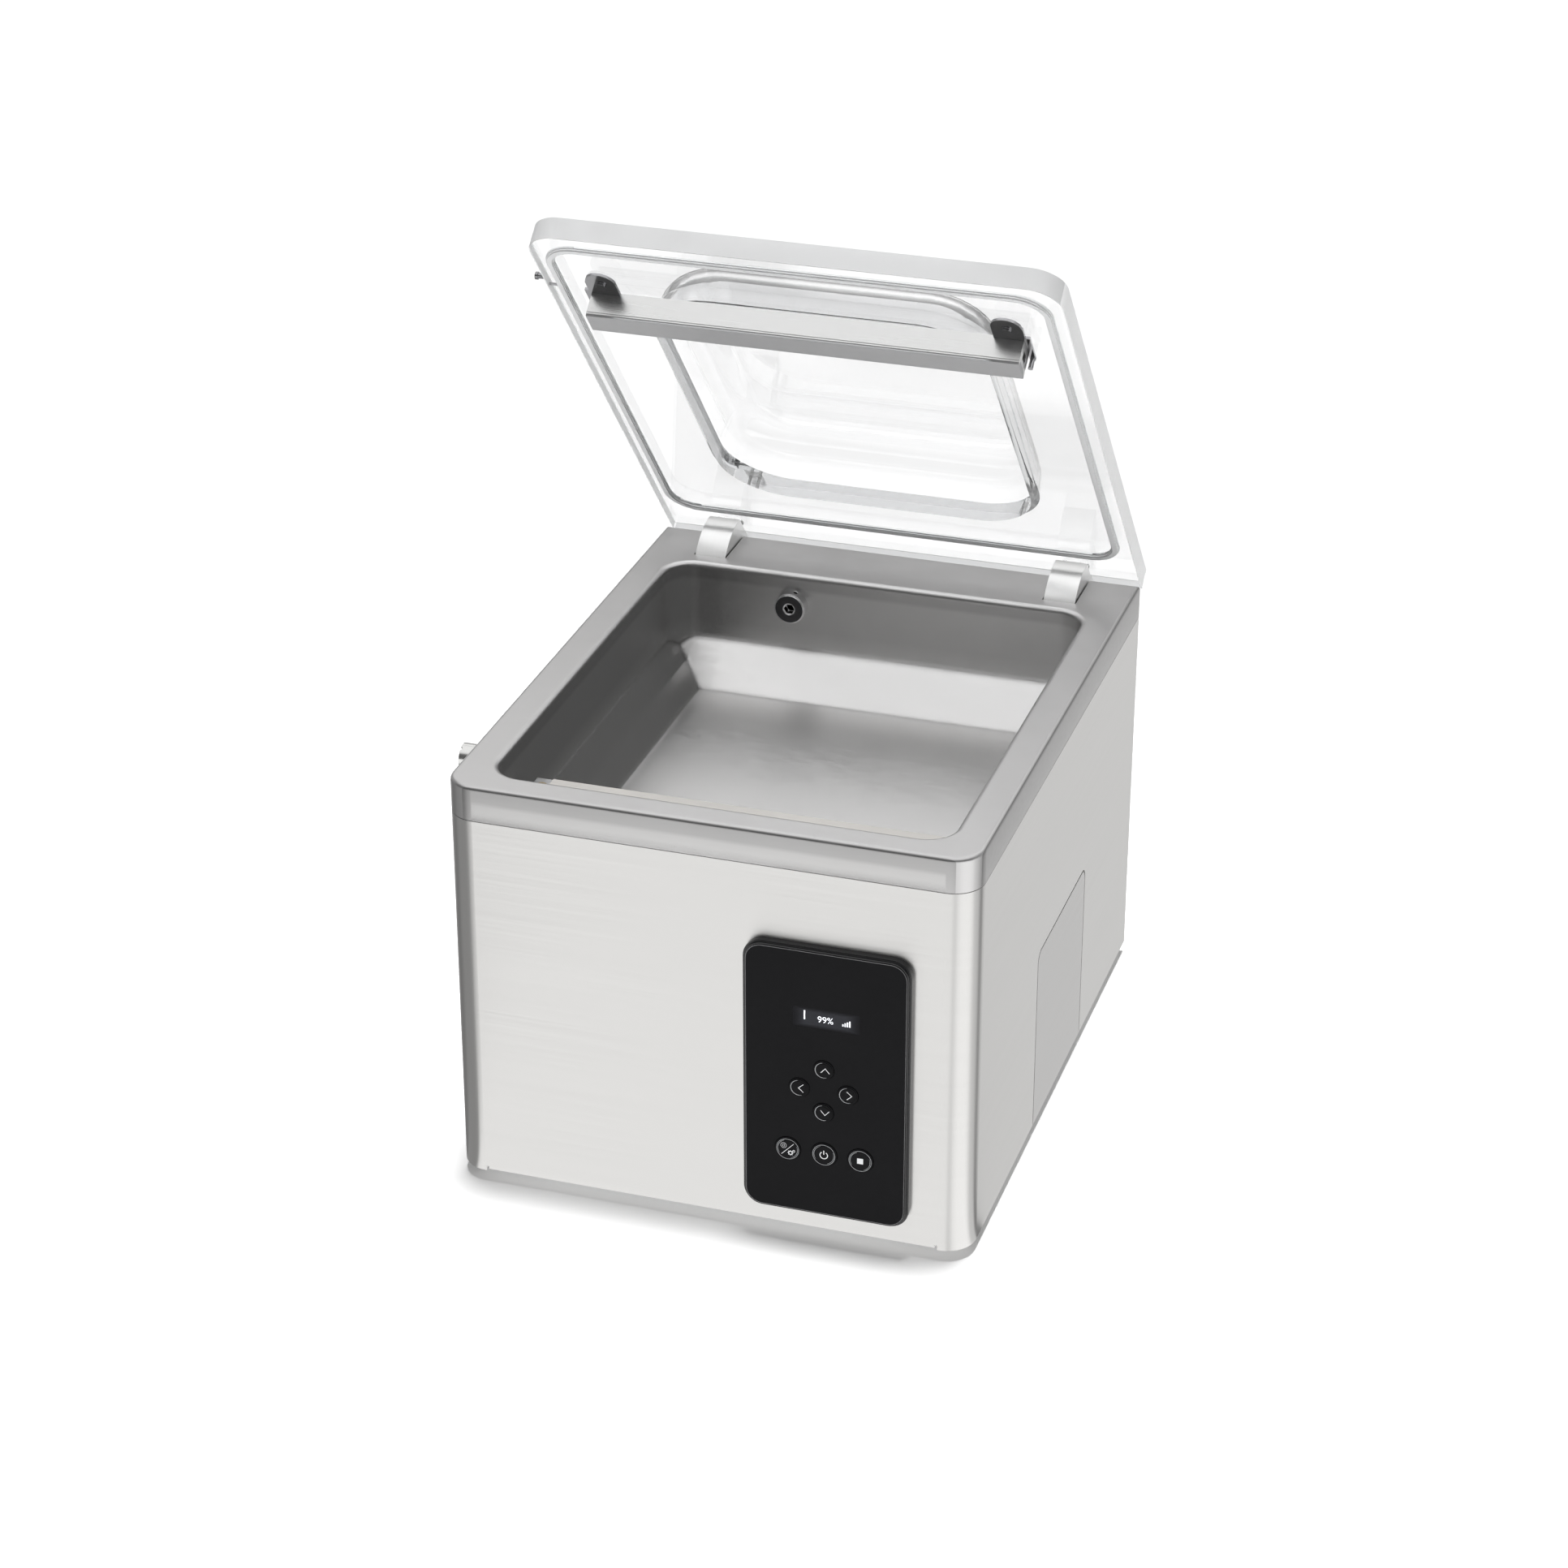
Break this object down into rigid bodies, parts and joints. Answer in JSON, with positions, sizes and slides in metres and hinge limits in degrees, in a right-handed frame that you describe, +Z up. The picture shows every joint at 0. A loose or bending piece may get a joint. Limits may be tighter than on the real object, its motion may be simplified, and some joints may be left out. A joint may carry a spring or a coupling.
{
  "type": "vacuum sealer",
  "caption": "Tabletop chamber vacuum sealer: steel cabinet with a drawn chamber, hinged clear domed lid, lifting seal bar, counter bar and front control panel.",
  "frame": {"origin": "on the bench under the middle of the cabinet's footprint", "axes": "+X to the user's right, +Y to the back, +Z up; the control panel faces -Y"},
  "size_m": [0.362, 0.4603, 0.6095],
  "materials": {
    "housing_steel": "fine vertical brushed stainless steel",
    "rear_steel": "plain satin stainless steel",
    "zinc_steel": "zinc plated sheet",
    "deck_steel": "satin drawn stainless steel",
    "foot_rubber": "matte moulded rubber",
    "screw_steel": "bright screw steel",
    "panel_black": "satin black moulding",
    "panel_gloss": "gloss black film",
    "display_smoke": "smoked clear window",
    "board_green": "solder-masked circuit board",
    "clear_acrylic": "clear cast acrylic with milled edges",
    "gasket_silicone": "translucent white silicone",
    "arm_aluminium": "brushed anodised",
    "shaft_steel": "ground steel",
    "bronze": "sintered bronze",
    "spring_steel": "oiled spring steel",
    "switch_black": "matte moulding",
    "bar_aluminium": "satin anodised extrusion",
    "bar_silicone": "grey silicone strip",
    "dark_chrome": "dark nickel plate",
    "seal_aluminium": "milled bar",
    "heater_brass": "resistance ribbon and terminals",
    "ptfe_tape": "woven non-stick tape",
    "cylinder_aluminium": "turned and anodised",
    "brass": "machined brass",
    "hose_rubber": "reinforced vacuum hose",
    "skid_black": "powder coat",
    "pump_grey": "painted casting",
    "sight_glass": "oil level window",
    "filter_black": "painted canister",
    "pump_iron": "grey cast iron",
    "rotor_steel": "turned steel",
    "motor_black": "painted finned frame",
    "transformer_iron": "varnished laminations",
    "inlet_black": "moulded socket",
    "rocker_black": "moulded rocker",
    "fan_black": "moulded fan plastic",
    "guard_chrome": "plated wire guard",
    "key_black": "gloss key cap"
  },
  "bodies": {
    "cabinet": {"housing": "housing_steel", "rear_panel": "rear_steel", "base_plate": "zinc_steel", "service_cover": "housing_steel", "deck_tank": "deck_steel", "rubber_feet": "foot_rubber", "feet_screws": "screw_steel", "rear_screws": "screw_steel", "cover_screws": "screw_steel", "panel_bezel": "panel_black", "panel_overlay": "panel_gloss", "display_window": "display_smoke", "control_board": "board_green", "hinge_brackets": "zinc_steel", "pivot_bushes": "bronze", "lid_springs": "spring_steel", "lid_switch": "switch_black", "lift_cylinders": "cylinder_aluminium", "vacuum_port": "dark_chrome", "port_elbow": "brass", "vacuum_hoses": "hose_rubber", "valve_block": "cylinder_aluminium", "pump_skid": "skid_black", "pump_mounts": "foot_rubber", "pump_tank": "pump_grey", "oil_sight_glass": "sight_glass", "oil_plugs": "brass", "exhaust_filter": "filter_black", "pump_stator": "pump_iron", "motor_frame": "motor_black", "transformer": "transformer_iron", "power_board": "board_green", "mains_inlet": "inlet_black", "rocker_frame": "inlet_black", "fan_frame": "fan_black", "fan_guard": "guard_chrome"},
    "lid_assembly": {"lid": "clear_acrylic", "lid_gasket": "gasket_silicone", "hinge_arms": "arm_aluminium", "hinge_shaft": "shaft_steel", "hinge_screws": "screw_steel", "counter_bar": "bar_aluminium", "counter_silicone": "bar_silicone", "bar_clips": "dark_chrome", "lid_stud": "shaft_steel"},
    "latch": {"latch_hook": "dark_chrome"},
    "seal_bar_assembly": {"seal_bar": "seal_aluminium", "heating_wire": "heater_brass", "seal_tape": "ptfe_tape", "lift_pistons": "shaft_steel"},
    "pump_drive": {"pump_rotor": "rotor_steel"},
    "fan_wheel": {"fan_rotor": "fan_black"},
    "rocker": {"power_rocker": "rocker_black"},
    "button_up": {"key_up": "key_black"},
    "button_left": {"key_left": "key_black"},
    "button_right": {"key_right": "key_black"},
    "button_down": {"key_down": "key_black"},
    "button_mode": {"key_mode": "key_black"},
    "button_power": {"key_power": "key_black"},
    "button_stop": {"key_stop": "key_black"}
  },
  "joints": [
    {"name": "lid_hinge", "type": "hinge", "parent": "cabinet", "child": "lid_assembly", "pos_m": [0, 0.2055, 0.2667], "axis": [1, 0, 0], "range_deg": [0, 48.5], "stiffness_Nm_per_rad": 3, "springref_deg": -80.21},
    {"name": "latch_turn", "type": "hinge", "parent": "cabinet", "child": "latch", "pos_m": [-0.18, -0.148, 0.277], "axis": [1, 0, 0], "range_deg": [0, 150]},
    {"name": "seal_bar_lift", "type": "slide", "parent": "cabinet", "child": "seal_bar_assembly", "axis": [0, 0, 1], "range_m": [0, 0.015]},
    {"name": "pump_spin", "type": "hinge", "parent": "cabinet", "child": "pump_drive", "pos_m": [0, 0.015, 0.076], "axis": [1, 0, 0], "continuous": true},
    {"name": "cooling_fan_spin", "type": "hinge", "parent": "cabinet", "child": "fan_wheel", "pos_m": [-0.1, 0.2, 0.092], "axis": [0, 1, 0], "continuous": true},
    {"name": "power_rocker_tilt", "type": "hinge", "parent": "cabinet", "child": "rocker", "pos_m": [0.072, 0.207, 0.044], "axis": [1, 0, 0], "range_deg": [-16, 0]},
    {"name": "press_up", "type": "slide", "parent": "cabinet", "child": "button_up", "axis": [0, 1, 0], "range_m": [0, 0.0006], "stiffness_N_per_m": 600, "springref_m": -0.0005},
    {"name": "press_left", "type": "slide", "parent": "cabinet", "child": "button_left", "axis": [0, 1, 0], "range_m": [0, 0.0006], "stiffness_N_per_m": 600, "springref_m": -0.0005},
    {"name": "press_right", "type": "slide", "parent": "cabinet", "child": "button_right", "axis": [0, 1, 0], "range_m": [0, 0.0006], "stiffness_N_per_m": 600, "springref_m": -0.0005},
    {"name": "press_down", "type": "slide", "parent": "cabinet", "child": "button_down", "axis": [0, 1, 0], "range_m": [0, 0.0006], "stiffness_N_per_m": 600, "springref_m": -0.0005},
    {"name": "press_mode", "type": "slide", "parent": "cabinet", "child": "button_mode", "axis": [0, 1, 0], "range_m": [0, 0.0006], "stiffness_N_per_m": 600, "springref_m": -0.0005},
    {"name": "press_power", "type": "slide", "parent": "cabinet", "child": "button_power", "axis": [0, 1, 0], "range_m": [0, 0.0006], "stiffness_N_per_m": 600, "springref_m": -0.0005},
    {"name": "press_stop", "type": "slide", "parent": "cabinet", "child": "button_stop", "axis": [0, 1, 0], "range_m": [0, 0.0006], "stiffness_N_per_m": 600, "springref_m": -0.0005}
  ]
}
